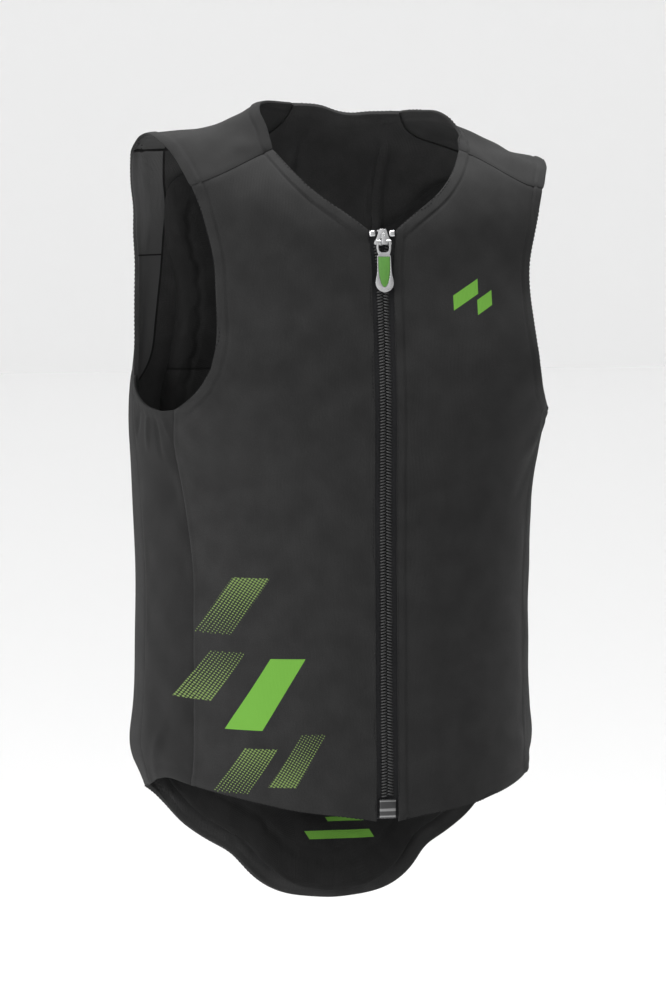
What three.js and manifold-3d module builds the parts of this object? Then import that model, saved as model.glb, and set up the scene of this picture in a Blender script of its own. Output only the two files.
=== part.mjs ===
// A sleeveless protective vest for riding, held in the shape that it has when it is worn.
// Thin stretch cloth covers the front, the sides and the shoulders. The back is one firm panel with a
// padded protector on its inner face, and it runs down below the hem as a tail. A zip with a hinged
// pull closes the front.
//
// Frame: millimetres, Z up, Y towards the back, X towards the wearer's left. The origin is where the
// vest sits on the shoulders, midway between the undersides of the two shoulder yokes.
import * as THREE from 'three';
import { mergeVertices } from 'three/addons/utils/BufferGeometryUtils.js';
import Module from 'manifold-3d';

const wasm = await Module();
wasm.setup();

// Driving dimensions, mm
const bodyHeight = 500;         // front hem to the outer ends of the shoulders
const bodyHalfWidth = 160;      // half the width at the bottom of the armholes
const bodyDepth = 200;          // the front of the hem to the flat of the back
const shoulderRest = 500;       // height above the front hem where the shoulders carry the vest
const clothThickness = 2;       // the stretch cloth of the front and the sides
const yokeThickness = 2.5;
const backThickness = 4;        // the doubled cloth of the back panel
const padThickness = 11;        // the protector inside the back
const padMargin = 9;            // what the back panel's border shows around the tail of the pad
const padClearance = 2.4;       // between the protector and the back panel's inner face
const seamGap = 0.3;            // clear space between pieces that touch
const leftDrop = 19.5;          // how much lower the crest of the wearer's left shoulder hangs
const seamSag = 4.6;            // how far the yoke's front seam sags on that side
const dropHeight = 38;          // over which height above the yoke seam the drop builds up
const napeHold = 0.67;          // how much of the drop the stiff nape takes away

const zipOpening = 16;          // between the edges of the two front panels
const notchFlare = 2.56;        // how far each panel's edge swings out at the top of the zip
const zipTopDrop = 2.5;         // from the notch of the neckline down to the end of the tapes
const tapeWidth = 16.5;
const tapeThickness = 1;
const coilWidth = 4.6;
const coilThickness = 2.6;
const zipSpread = 2.3;          // how far each half of the zip stands off at the slider
const retainerSize = { width: 12.5, height: 14, thickness: 3.4 };
const stopSize = { width: 4.6, height: 4.6, thickness: 3.2, offset: 7.5, rise: 1.7 };

const sliderHeight = 11.6;
const sliderRise = 2.6;         // how far the slider's crown stands over the end of the tapes
const plateThickness = 1.2;
const barDiameter = 1.8;
const pullLength = 37.8;
const inletDepth = 0.9;
const inlayGap = 0.25;          // round the inlay in its pocket

// Tables, as shares of the dimensions above
// Level sections of the body, from the tip of the tail to the nape: the half width, and the depths of
// the widest point, the front and the back. The powers make each half an ellipse (2) or squarer.
const SECTIONS = [
  { height: -0.19, half: 0.856, widest: 0.265, front: -0.54, back: 0.322, frontPower: 2.1, backPower: 2.6 },
  { height: -0.14, half: 0.858, widest: 0.285, front: -0.54, back: 0.345, frontPower: 2.1, backPower: 2.6 },
  { height: -0.09, half: 0.864, widest: 0.335, front: -0.54, back: 0.418, frontPower: 2.1, backPower: 2.6 },
  { height: -0.05, half: 0.872, widest: 0.370, front: -0.54, back: 0.468, frontPower: 2.1, backPower: 2.6 },
  { height: 0.010, half: 0.912, widest: 0.395, front: -0.54, back: 0.516, frontPower: 2.1, backPower: 2.6 },
  { height: 0.060, half: 0.969, widest: 0.440, front: -0.538, back: 0.535, frontPower: 2.1, backPower: 2.6 },
  { height: 0.160, half: 0.956, widest: 0.440, front: -0.52, back: 0.540, frontPower: 2.1, backPower: 2.6 },
  { height: 0.300, half: 0.950, widest: 0.435, front: -0.50, back: 0.535, frontPower: 2.1, backPower: 2.6 },
  { height: 0.472, half: 0.969, widest: 0.440, front: -0.475, back: 0.540, frontPower: 2.12, backPower: 2.6 },
  { height: 0.600, half: 1.000, widest: 0.385, front: -0.467, back: 0.560, frontPower: 2.55, backPower: 2.5 },
  { height: 0.690, half: 0.972, widest: 0.360, front: -0.44, back: 0.555, frontPower: 3.7, backPower: 2.4 },
  { height: 0.800, half: 0.975, widest: 0.350, front: -0.395, back: 0.525, frontPower: 2.95, backPower: 2.4 },
  { height: 0.868, half: 1.000, widest: 0.340, front: -0.378, back: 0.465, frontPower: 2.9, backPower: 2.4 },
  { height: 0.936, half: 1.019, widest: 0.320, front: -0.292, back: 0.395, frontPower: 3.3, backPower: 2.5 },
  { height: 0.960, half: 1.019, widest: 0.295, front: -0.23, back: 0.355, frontPower: 3.4, backPower: 2.6 },
  { height: 0.990, half: 1.019, widest: 0.260, front: -0.125, back: 0.300, frontPower: 3.4, backPower: 2.6 },
  { height: 1.020, half: 1.019, widest: 0.220, front: -0.02, back: 0.255, frontPower: 3.4, backPower: 2.6 },
  { height: 1.064, half: 1.019, widest: 0.160, front: 0.06, back: 0.182, frontPower: 3.4, backPower: 2.6 },
];

// Edges and seams: across is a share of the half width, depth of the body's depth, height of its height.
const HEM = [
  { across: 0.050, height: 0.0000 },
  { across: 0.200, height: 0.0070 },
  { across: 0.400, height: 0.0130 },
  { across: 0.560, height: 0.0210 },
  { across: 0.700, height: 0.0280 },
  { across: 0.810, height: 0.0330 },
];
const SIDE_HEM = [
  { depth: -0.130, height: 0.0330 },
  { depth: 0.000, height: 0.0360 },
  { depth: 0.150, height: 0.0270 },
  { depth: 0.280, height: 0.0120 },
];
const FRONT_SEAM = [
  { across: 0.810, height: 0.0330 },
  { across: 0.803, height: 0.200 },
  { across: 0.803, height: 0.346 },
  { across: 0.820, height: 0.412 },
  { across: 0.858, height: 0.500 },
  { across: 0.890, height: 0.550 },
  { across: 0.900, height: 0.600 },
];
const BACK_SEAM = [
  { depth: 0.280, height: 0.0120 },
  { depth: 0.280, height: 0.300 },
  { depth: 0.310, height: 0.472 },
  { depth: 0.310, height: 0.640 },
];
const ARMHOLE_FRONT = [
  { across: 0.900, height: 0.600 },
  { across: 0.872, height: 0.610 },
  { across: 0.836, height: 0.630 },
  { across: 0.795, height: 0.660 },
  { across: 0.763, height: 0.720 },
  { across: 0.752, height: 0.800 },
  { across: 0.790, height: 0.875 },
  { across: 0.845, height: 0.934 },
];
const ARMHOLE_SIDE = [
  { depth: -0.098, height: 0.600 },
  { depth: -0.010, height: 0.596 },
  { depth: 0.080, height: 0.598 },
  { depth: 0.160, height: 0.604 },
  { depth: 0.235, height: 0.616 },
  { depth: 0.310, height: 0.640 },
];
const ARMHOLE_BACK = [
  { depth: 0.310, height: 0.640 },
  { depth: 0.350, height: 0.672 },
  { depth: 0.370, height: 0.730 },
  { depth: 0.380, height: 0.800 },
  { depth: 0.372, height: 0.880 },
  { depth: 0.335, height: 0.940 },
  { depth: 0.268, height: 0.982 },
];
const NECKLINE = [
  { across: 0.066, height: 0.873 },
  { across: 0.105, height: 0.885 },
  { across: 0.185, height: 0.901 },
  { across: 0.260, height: 0.918 },
  { across: 0.340, height: 0.941 },
  { across: 0.448, height: 0.988 },
];
const YOKE_FRONT = [
  { across: 0.448, height: 0.988 },
  { across: 0.560, height: 0.974 },
  { across: 0.680, height: 0.957 },
  { across: 0.848, height: 0.934 },
];
const YOKE_BACK = [
  { across: 0.259, height: 1.054 },
  { across: 0.269, height: 1.042 },
  { across: 0.294, height: 1.030 },
  { across: 0.338, height: 1.015 },
  { across: 0.440, height: 1.000 },
  { across: 0.600, height: 0.991 },
  { across: 0.800, height: 0.986 },
];
const NAPE = [
  { across: 0.259, height: 1.054 },
  { across: 0.125, height: 1.052 },
  { across: 0.060, height: 1.047 },
  { across: 0.000, height: 1.045 },
];
const TAIL = [
  { across: 0.850, height: -0.0140 },
  { across: 0.781, height: -0.0380 },
  { across: 0.706, height: -0.0640 },
  { across: 0.636, height: -0.0800 },
  { across: 0.554, height: -0.0960 },
  { across: 0.482, height: -0.110 },
  { across: 0.447, height: -0.121 },
  { across: 0.405, height: -0.138 },
  { across: 0.345, height: -0.153 },
  { across: 0.270, height: -0.166 },
  { across: 0.140, height: -0.176 },
  { across: 0.000, height: -0.179 },
];
// Free edges of a yoke between its two seams, along the neck and along the arm.
const YOKE_NECK = [
  { across: 0.464, depth: -0.075, height: 1.022 },
  { across: 0.483, depth: -0.035, height: 1.042 },
  { across: 0.471, depth: 0.010, height: 1.053 },
  { across: 0.425, depth: 0.070, height: 1.057 },
  { across: 0.335, depth: 0.140, height: 1.056 },
];
const YOKE_ARM = [
  { across: 0.873, depth: -0.110, height: 0.956 },
  { across: 0.898, depth: -0.050, height: 0.976 },
  { across: 0.920, depth: 0.005, height: 0.989 },
  { across: 0.938, depth: 0.060, height: 0.998 },
  { across: 0.953, depth: 0.120, height: 1.004 },
  { across: 0.968, depth: 0.180, height: 1.006 },
  { across: 0.988, depth: 0.230, height: 1.001 },
];
// How far each shoulder's crest stands over the surface that its four edges span, from neck to arm.
const CREST = [
  { share: 0.00, right: 0.0000, left: 0.0000 },
  { share: 0.12, right: 0.0140, left: -0.0010 },
  { share: 0.30, right: 0.0152, left: 0.0045 },
  { share: 0.47, right: 0.0115, left: 0.0100 },
  { share: 0.65, right: 0.0080, left: 0.0170 },
  { share: 0.82, right: 0.0035, left: 0.0095 },
  { share: 1.00, right: 0.0000, left: 0.0000 },
];
// Where the left shoulder's drop and the sag of its seam come in and go out, as shares of the half
// width (across), of the body's depth (depth) and of its height over the seam (over).
const DROP = {
  across: [-0.188, 0.188],
  napeDepth: [-0.030, 0.100],
  napeAcross: [0.500, 0.812],
};
const SAG = {
  in: [0.460, 0.750],
  out: [0.750, 0.850],
  below: [-0.160, -0.020],
  over: [0.010, 0.060],
};
// Outline of the protector from its lower side corner up to the middle of its top.
const PAD_SIDE = [
  { across: 0.800, height: 0.010 },
  { across: 0.830, height: 0.100 },
  { across: 0.830, height: 0.600 },
  { across: 0.780, height: 0.680 },
  { across: 0.757, height: 0.744 },
  { across: 0.772, height: 0.794 },
  { across: 0.830, height: 0.856 },
  { across: 0.833, height: 0.905 },
];
const PAD_TOP = [
  { across: 0.833, height: 0.905 },
  { across: 0.800, height: 0.936 },
  { across: 0.700, height: 0.950 },
  { across: 0.580, height: 0.942 },
  { across: 0.460, height: 0.914 },
  { across: 0.340, height: 0.876 },
  { across: 0.200, height: 0.846 },
  { across: 0.000, height: 0.835 },
];
// Right-hand outlines of the hard parts, mm: half is the distance from the middle line. Heights count
// from the slider's middle, and on the pull from its bar.
const BELL = [
  { half: 2.4, up: 5.8 },
  { half: 3.0, up: 4.8 },
  { half: 3.6, up: 2.4 },
  { half: 4.5, up: -0.2 },
  { half: 6.2, up: -3.0 },
  { half: 6.7, up: -4.6 },
  { half: 6.4, up: -5.8 },
];
const PULL = [
  { half: 5.5, up: 0 },
  { half: 5.5, up: -5.5 },
  { half: 5.0, up: -8.3 },
  { half: 4.2, up: -10.2 },
  { half: 5.1, up: -10.9 },
  { half: 5.3, up: -20 },
  { half: 5.6, up: -24 },
  { half: 6.5, up: -28 },
];
const EYE = [
  { half: 4.1, up: -0.9 },
  { half: 4.1, up: -5.6 },
  { half: 3.4, up: -7.5 },
  { half: 1.9, up: -8.4 },
];
const INLAY = [
  { half: 4.3, up: -11.6 },
  { half: 4.3, up: -20 },
  { half: 3.7, up: -26.5 },
  { half: 2.6, up: -31 },
  { half: 1.2, up: -33.4 },
  { half: 0, up: -34 },
];

const notchHeight = NECKLINE[0].height * bodyHeight;
const zipLength = notchHeight - zipTopDrop;

// Curves and surfaces
// A smooth interpolation through points that never swings past them.
function monotone(at, values) {
  const step = at.slice(1).map((v, i) => v - at[i]);
  const rise = step.map((h, i) => (values[i + 1] - values[i]) / h);
  const slope = values.map((v, i) => {
    if (i === 0) return rise[0];
    if (i === values.length - 1) return rise[i - 1];
    if (rise[i - 1] * rise[i] <= 0) return 0;
    const before = 2 * step[i] + step[i - 1];
    const after = step[i] + 2 * step[i - 1];
    return (before + after) / (before / rise[i - 1] + after / rise[i]);
  });
  return (x) => {
    const c = Math.min(Math.max(x, at[0]), at[at.length - 1]);
    let i = 0;
    while (i < step.length - 1 && c > at[i + 1]) i += 1;
    const t = (c - at[i]) / step[i];
    return (1 + 2 * t) * (1 - t) ** 2 * values[i] + t * (1 - t) ** 2 * step[i] * slope[i]
      + t * t * (3 - 2 * t) * values[i + 1] + t * t * (t - 1) * step[i] * slope[i + 1];
  };
}

const column = (name, scale) => monotone(
  SECTIONS.map((row) => row.height * bodyHeight),
  SECTIONS.map((row) => row[name] * scale),
);
const sectionHalfWidth = column('half', bodyHalfWidth);
const sectionWidest = column('widest', bodyDepth);
const sectionFront = column('front', bodyDepth);
const sectionBack = column('back', bodyDepth);
const sectionFrontPower = column('frontPower', 1);
const sectionBackPower = column('backPower', 1);

const smooth = (t) => {
  const c = Math.min(Math.max(t, 0), 1);
  return c * c * (3 - 2 * c);
};

const ramp = (value, [from, to]) => smooth((value - from) / (to - from));

// The wearer's left shoulder hangs lower than the right: everything above the yoke seam sinks.
const seamInner = YOKE_FRONT[0];
const seamOuter = YOKE_FRONT.at(-1);
const seamFall = (seamInner.height - seamOuter.height) / (seamOuter.across - seamInner.across);
const yokeSeamHeight = (across) => (
  seamInner.height - seamFall * Math.max(Math.abs(across) - seamInner.across, 0)
);
function drop(p) {
  const across = p.x / bodyHalfWidth;
  const overSeam = p.z / bodyHeight - yokeSeamHeight(across);
  const t = Math.min(Math.max(overSeam * bodyHeight / dropHeight, 0), 1);
  const up = 0.6 * t + 0.4 * smooth(t);
  const byNape = ramp(p.y / bodyDepth, DROP.napeDepth) * (1 - ramp(across, DROP.napeAcross));
  const bySeam = ramp(overSeam, SAG.below) * (1 - ramp(overSeam, SAG.over));
  const sag = ramp(across, SAG.in) * (1 - 0.5 * ramp(across, SAG.out));
  const sinks = leftDrop * up * ramp(across, DROP.across) * (1 - napeHold * byNape);
  return new THREE.Vector3(p.x, p.y, p.z - sinks - seamSag * sag * bySeam);
}

// The body's surface: turn runs around a section from the front (0) over the wearer's left (a quarter)
// to the back (a half), in radians, and is negative on the wearer's right.
function body(turn, z) {
  const s = Math.abs(Math.sin(turn));
  const c = Math.cos(turn);
  const power = c > 0 ? sectionFrontPower(z) : sectionBackPower(z);
  const reach = (s ** power + Math.abs(c) ** power) ** (-1 / power);
  const depth = c > 0 ? sectionWidest(z) - sectionFront(z) : sectionBack(z) - sectionWidest(z);
  return new THREE.Vector3(
    Math.sign(Math.sin(turn)) * sectionHalfWidth(z) * reach * s,
    sectionWidest(z) - depth * reach * c,
    z,
  );
}

const skin = (turn, z) => drop(body(turn, z));

function skinNormal(turn, z) {
  const dt = 0.004;
  const dz = 0.8;
  const around = skin(turn + dt, z).sub(skin(turn - dt, z));
  const up = skin(turn, z + dz).sub(skin(turn, z - dz));
  return around.cross(up).normalize();
}

function turnAcross(x, z, back) {
  const power = back ? sectionBackPower(z) : sectionFrontPower(z);
  const s = Math.min(Math.abs(x) / sectionHalfWidth(z), 0.9999);
  const c = (1 - s ** power) ** (1 / power);
  return Math.atan2(s, back ? -c : c);
}

function turnDeep(y, z) {
  const inFront = y < sectionWidest(z);
  const depth = inFront ? sectionWidest(z) - sectionFront(z) : sectionBack(z) - sectionWidest(z);
  const power = inFront ? sectionFrontPower(z) : sectionBackPower(z);
  const c = Math.min(Math.abs(y - sectionWidest(z)) / depth, 0.9999);
  const s = (1 - c ** power) ** (1 / power);
  return Math.atan2(s, inFront ? c : -c);
}

// A curve through rows of numbers, run through by its share of the length.
function through(rows) {
  const length = [0];
  for (let i = 1; i < rows.length; i += 1) {
    length.push(length[i - 1] + Math.hypot(...rows[i].map((v, k) => v - rows[i - 1][k])));
  }
  const parts = rows[0].map((v, k) => monotone(length, rows.map((row) => row[k])));
  const total = length[length.length - 1];
  return (t) => parts.map((part) => part(t * total));
}

// A table's curve as turn and height on the body.
function onBody(table, back = false) {
  const across = table[0].across !== undefined;
  const curve = through(table.map((row) => [
    across ? row.across * bodyHalfWidth : row.depth * bodyDepth,
    row.height * bodyHeight,
  ]));
  return (t) => {
    const [place, z] = curve(t);
    return [across ? turnAcross(place, z, back) : turnDeep(place, z), z];
  };
}

// Two curves end to end, with the joint at a share of the whole.
const joined = (first, second, share) => (t) => (
  t <= share ? first(t / share) : second((t - share) / (1 - share))
);

// Fills the space between four edges: left and right run up, bottom and top run from left to right.
function filled(left, right, bottom, top) {
  const corner = { a: bottom(0), b: bottom(1), c: top(0), d: top(1) };
  return (u, v) => left(v).map((value, k) => (
    (1 - u) * value + u * right(v)[k] + (1 - v) * bottom(u)[k] + v * top(u)[k]
    - (1 - u) * (1 - v) * corner.a[k] - u * (1 - v) * corner.b[k]
    - (1 - u) * v * corner.c[k] - u * v * corner.d[k]
  ));
}

// A closed solid between two faces over a grid of u and v. face(u, v) gives the outer and inner points.
function slab(columns, rows, face) {
  const points = [];
  const grid = [[], []];
  for (let j = 0; j <= rows; j += 1) {
    for (let i = 0; i <= columns; i += 1) {
      face(i / columns, j / rows).forEach((p, k) => {
        grid[k].push(points.length / 3);
        points.push(p.x, p.y, p.z);
      });
    }
  }
  const index = [];
  const quad = (a, b, c, d) => index.push(a, b, c, a, c, d);
  const at = (k, i, j) => grid[k][j * (columns + 1) + i];
  for (let j = 0; j < rows; j += 1) {
    for (let i = 0; i < columns; i += 1) {
      quad(at(0, i, j), at(0, i + 1, j), at(0, i + 1, j + 1), at(0, i, j + 1));
      quad(at(1, i, j), at(1, i, j + 1), at(1, i + 1, j + 1), at(1, i + 1, j));
    }
    quad(at(1, 0, j), at(0, 0, j), at(0, 0, j + 1), at(1, 0, j + 1));
    quad(at(0, columns, j), at(1, columns, j), at(1, columns, j + 1), at(0, columns, j + 1));
  }
  for (let i = 0; i < columns; i += 1) {
    quad(at(0, i, 0), at(1, i, 0), at(1, i + 1, 0), at(0, i + 1, 0));
    quad(at(1, i, rows), at(0, i, rows), at(0, i + 1, rows), at(1, i + 1, rows));
  }
  const geometry = new THREE.BufferGeometry();
  geometry.setAttribute('position', new THREE.Float32BufferAttribute(points, 3));
  geometry.setIndex(index);
  return geometry;
}

// A sheet on the body: patch(u, v) gives turn and height, and the sheet lies between two depths below
// the surface. side is 1 for the wearer's left and -1 for the right.
function sheet(columns, rows, patch, side, outer, inner) {
  return slab(columns, rows, (u, v) => {
    const [turn, z] = patch(side > 0 ? u : 1 - u, v);
    const p = skin(side * turn, z);
    const n = skinNormal(side * turn, z);
    return [p.clone().addScaledVector(n, -outer), p.clone().addScaledVector(n, -inner)];
  });
}

// Leaves half a seam gap free around a patch, so that neighbours don't touch.
const inset = (patch, width, height) => (u, v) => {
  const du = 0.6 * seamGap / width;
  const dv = 0.6 * seamGap / height;
  return patch(du + (1 - 2 * du) * u, dv + (1 - 2 * dv) * v);
};

// Cloth panels
const frontWidth = 0.56 * bodyHalfWidth;
const sideWidth = bodyHalfWidth / 2;
const sideHeight = FRONT_SEAM.at(-1).height * bodyHeight;
const frontRows = 20;
const armpitRow = 11;
const notchShare = 16 / frontRows;
const armpitShare = armpitRow / frontRows;

const zipEdge = (t) => {
  const z = notchHeight * t;
  const flare = notchFlare * ramp(z - notchHeight, [-16, -4]);
  return [turnAcross(zipOpening / 2 + flare, z, false), z];
};
const frontPatch = filled(
  joined(zipEdge, onBody(NECKLINE), notchShare),
  joined(onBody(FRONT_SEAM), onBody(ARMHOLE_FRONT), armpitShare),
  onBody(HEM),
  onBody(YOKE_FRONT),
);
const sidePatch = filled(
  onBody(FRONT_SEAM),
  onBody(BACK_SEAM),
  onBody(SIDE_HEM),
  onBody(ARMHOLE_SIDE),
);

const frontPanel = (side) => sheet(
  16, frontRows, inset(frontPatch, frontWidth, bodyHeight), side, 0, clothThickness,
);
const sidePanel = (side) => sheet(
  6, armpitRow, inset(sidePatch, sideWidth, sideHeight), side, 0, clothThickness,
);

// One half of the back, from its side edge to the middle, then mirrored into the other half.
const backRows = 26;
const backColumns = 26;
const seamShare = armpitRow / backRows;
const yokeColumns = 8;
const yokeShare = yokeColumns / (backColumns / 2);
const cornerShare = 2 / (backColumns / 2);
const seamTableShare = 0.8;
const tailCorner = (t) => {
  const start = onBody(BACK_SEAM)(0);
  const end = onBody(TAIL, true)(0);
  return start.map((value, k) => value + (end[k] - value) * t);
};
const tailEdge = joined(tailCorner, onBody(TAIL, true), cornerShare);
const yokeBackCurve = onBody(YOKE_BACK, true);
const armholeTop = onBody(ARMHOLE_BACK)(1);
// The yoke's back seam from the neck to the arm, where it ends on the armhole's edge.
const yokeBackEdge = (t) => {
  const [turn, z] = yokeBackCurve(Math.min(t / seamTableShare, 1));
  const s = Math.max((t - seamTableShare) / (1 - seamTableShare), 0);
  return [turn + (armholeTop[0] - turn) * s, z + (armholeTop[1] - z) * s];
};
const backHalf = filled(
  joined(onBody(BACK_SEAM), onBody(ARMHOLE_BACK), seamShare),
  (t) => [Math.PI, bodyHeight * (TAIL.at(-1).height + (NAPE.at(-1).height - TAIL.at(-1).height) * t)],
  tailEdge,
  joined((t) => yokeBackEdge(1 - t), onBody(NAPE, true), yokeShare),
);
const mirrored = (half) => (u, v) => {
  const [turn, z] = half(1 - Math.abs(1 - 2 * u), v);
  return u < 0.5 ? [turn, z] : [2 * Math.PI - turn, z];
};
const backCover = () => sheet(
  backColumns, backRows, inset(mirrored(backHalf), 2 * bodyHalfWidth, bodyHeight), 1, 0, backThickness,
);

const padTail = onBody(TAIL.map((row) => ({
  across: row.across - padMargin / bodyHalfWidth * Math.min(1, row.across / 0.3),
  height: row.height + padMargin / bodyHeight,
})), true);
const padHalf = filled(
  onBody(PAD_SIDE, true),
  (t) => {
    const low = TAIL.at(-1).height + padMargin / bodyHeight;
    return [Math.PI, bodyHeight * (low + (PAD_TOP.at(-1).height - low) * t)];
  },
  padTail,
  onBody(PAD_TOP, true),
);
const padDepth = (u, v) => {
  const edge = Math.min(smooth(u / 0.06), smooth((1 - u) / 0.06), smooth(v / 0.05), smooth((1 - v) / 0.05));
  return backThickness + padClearance + padThickness * (0.35 + 0.65 * edge);
};
const backProtector = () => slab(20, 24, (u, v) => {
  const [turn, z] = mirrored(padHalf)(u, v);
  const p = skin(turn, z);
  const n = skinNormal(turn, z);
  return [
    p.clone().addScaledVector(n, -backThickness - padClearance),
    p.clone().addScaledVector(n, -padDepth(u, v)),
  ];
});

// Shoulder yokes
const toArray = (p) => [p.x, p.y, p.z];
const placeRow = (row) => [
  row.across * bodyHalfWidth, row.depth * bodyDepth, row.height * bodyHeight,
];
const yokeFrontLine = (t) => toArray(body(...onBody(YOKE_FRONT)(t)));
const yokeBackLine = (t) => toArray(body(...yokeBackEdge(t)));
const yokeSurface = filled(
  yokeFrontLine,
  yokeBackLine,
  through([yokeFrontLine(0), ...YOKE_NECK.map(placeRow), yokeBackLine(0)]),
  through([yokeFrontLine(1), ...YOKE_ARM.map(placeRow), yokeBackLine(1)]),
);
const crestRise = Object.fromEntries(['right', 'left'].map((hand) => [
  hand, monotone(CREST.map((row) => row.share), CREST.map((row) => row[hand])),
]));
const yokePoint = (u, v, side) => {
  const [x, y, z] = yokeSurface(u, v);
  const crest = crestRise[side > 0 ? 'left' : 'right'](v) * bodyHeight * Math.sin(Math.PI * u);
  return drop(new THREE.Vector3(side * x, y, z + crest));
};
// u runs over the shoulder from the front seam to the back seam, v from the neck to the arm.
function yokeNormal(u, v, side) {
  const d = 0.02;
  const lap = (t) => [Math.max(t - d, 0), Math.min(t + d, 1)];
  const [u0, u1] = lap(u);
  const [v0, v1] = lap(v);
  const over = yokePoint(u1, v, side).sub(yokePoint(u0, v, side));
  const out = yokePoint(u, v1, side).sub(yokePoint(u, v0, side));
  const n = over.cross(out).multiplyScalar(-side).normalize();
  const seam = (line, t) => skinNormal(side * line(t)[0], line(t)[1]);
  const atFront = 1 - smooth(u / 0.2);
  const atBack = 1 - smooth((1 - u) / 0.2);
  n.lerp(seam(onBody(YOKE_FRONT), v), atFront);
  n.lerp(seam(yokeBackEdge, v), atBack);
  return n.normalize();
}
const yoke = (side) => slab(9, yokeColumns, (a, b) => {
  const margin = seamGap / frontWidth;
  const u = margin + (1 - 2 * margin) * a;
  const v = side > 0 ? 1 - b : b;
  const p = yokePoint(u, v, side);
  return [p, p.clone().addScaledVector(yokeNormal(u, v, side), -yokeThickness)];
});

// Zip
const spread = (z) => zipSpread * ramp(z - zipLength, [-16, -8]);
const strip = (side, nearEdge, width, low, high, outer, inner, rows) => sheet(
  1, rows,
  (u, v) => {
    const z = low + (high - low) * v;
    return [turnAcross(nearEdge + spread(z) + width * u, z, false), z];
  },
  side, outer, inner,
);
const tapeFront = clothThickness + 2 * seamGap;
const coilFront = tapeFront - seamGap - coilThickness;
const retainerUp = 2.5;
const retainerTop = retainerUp + retainerSize.height;
const zipTape = (side) => strip(
  side, seamGap, tapeWidth, 1.5, zipLength + 1.5, tapeFront, tapeFront + tapeThickness, 22,
);
const zipCoil = (side) => strip(
  side, seamGap, coilWidth, retainerTop + seamGap, zipLength - stopSize.height - 2.5,
  coilFront, coilFront + coilThickness, 22,
);

function solid(geometry) {
  const plain = geometry.clone();
  plain.deleteAttribute('normal');
  plain.deleteAttribute('uv');
  const merged = mergeVertices(plain, 1e-4);
  return new wasm.Manifold(new wasm.Mesh({
    numProp: 3,
    vertProperties: new Float32Array(merged.attributes.position.array),
    triVerts: new Uint32Array(merged.index.array),
  }));
}

function fromSolid(shape) {
  const mesh = shape.getMesh();
  const geometry = new THREE.BufferGeometry();
  geometry.setAttribute('position', new THREE.Float32BufferAttribute(mesh.vertProperties, 3));
  geometry.setIndex(Array.from(mesh.triVerts));
  return geometry;
}

const union = (pieces) => fromSolid(pieces.map(solid).reduce((a, b) => a.add(b)));

// Small hard parts are drawn as seen from the front: x across, y up, z out of the cloth.
function plate(outline, low, high) {
  const shape = new THREE.Shape(outline.map(([x, y]) => new THREE.Vector2(x, y)));
  return new THREE.ExtrudeGeometry(shape, { depth: high - low, bevelEnabled: false, steps: 1 })
    .translate(0, 0, low);
}

function block(x0, x1, y0, y1, z0, z1) {
  return new THREE.BoxGeometry(x1 - x0, y1 - y0, z1 - z0)
    .translate((x0 + x1) / 2, (y0 + y1) / 2, (z0 + z1) / 2);
}

// Mirrors a right-hand outline that runs from its top down to its lowest point.
const bothSides = (half) => [
  ...half,
  ...half.slice().reverse().filter(([x]) => x > 0).map(([x, y]) => [-x, y]),
].reverse();
const pairs = (table) => table.map((row) => [row.half, row.up]);

const topPlate = { low: -coilFront + seamGap, high: -coilFront + seamGap + plateThickness };
const tapeBack = -(tapeFront + tapeThickness);
const backPlate = { low: tapeBack - 3 * seamGap - plateThickness, high: tapeBack - 3 * seamGap };
const barAxis = { up: 2.55 - sliderHeight / 2, out: topPlate.high + 0.4 + barDiameter / 2 };

function sliderGeometry() {
  const top = sliderHeight / 2;
  const bell = bothSides(pairs(BELL));
  const archInside = barAxis.out + barDiameter / 2 + 0.4;
  const archTop = archInside + 1.1;
  const bridgeHalf = 1.7;
  const rear = barAxis.up + barDiameter / 2 + 0.9;
  const fore = barAxis.up - barDiameter / 2 - 0.9;
  return union([
    plate(bell, topPlate.low, topPlate.high),
    plate(bell, backPlate.low, backPlate.high),
    block(-1.1, 1.1, top - 3.2, top, backPlate.low + 0.2, topPlate.high - 0.2),
    block(-bridgeHalf, bridgeHalf, rear, rear + 3.6, topPlate.high - 0.2, archTop - 0.6),
    block(-bridgeHalf, bridgeHalf, fore - 0.9, rear + 1.8, archInside, archTop),
    block(-bridgeHalf, bridgeHalf, fore - 0.9, fore, topPlate.high - 0.2, archTop - 0.2),
  ]);
}

// The pull is drawn from its bar down: a ring, then a tab that widens to a round end.
const tabRadius = 6.9;
const tabArcSteps = 6;
const tabEnd = Array.from({ length: tabArcSteps + 1 }, (v, i) => {
  const a = (i / tabArcSteps) * Math.PI / 2;
  return [tabRadius * Math.cos(a), tabRadius * (1 - Math.sin(a)) - pullLength];
});
// The inlay's outline, grown outwards to give the pocket that it lies in.
const inlayOutline = (grow) => bothSides(INLAY.map((row, i) => [
  row.half > 0 ? row.half + grow : 0,
  row.up + (i === 0 ? grow : -grow * (i / (INLAY.length - 1)) ** 2),
]));

function pullGeometry() {
  const half = barDiameter / 2;
  const outline = bothSides([...pairs(PULL), ...tabEnd]);
  const bar = new THREE.CylinderGeometry(half, half, 2 * PULL[0].half, 12).rotateZ(Math.PI / 2);
  const pocket = solid(plate(inlayOutline(inlayGap), half - inletDepth - 0.2, half + 1));
  const eye = solid(plate(bothSides(pairs(EYE)), -2, 2));
  const flat = solid(plate(outline, -half, half)).subtract(eye).subtract(pocket);
  return fromSolid(flat.add(solid(bar)));
}

const inlayGeometry = () => plate(
  inlayOutline(0), barDiameter / 2 - inletDepth, barDiameter / 2 + 0.1,
);

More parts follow.
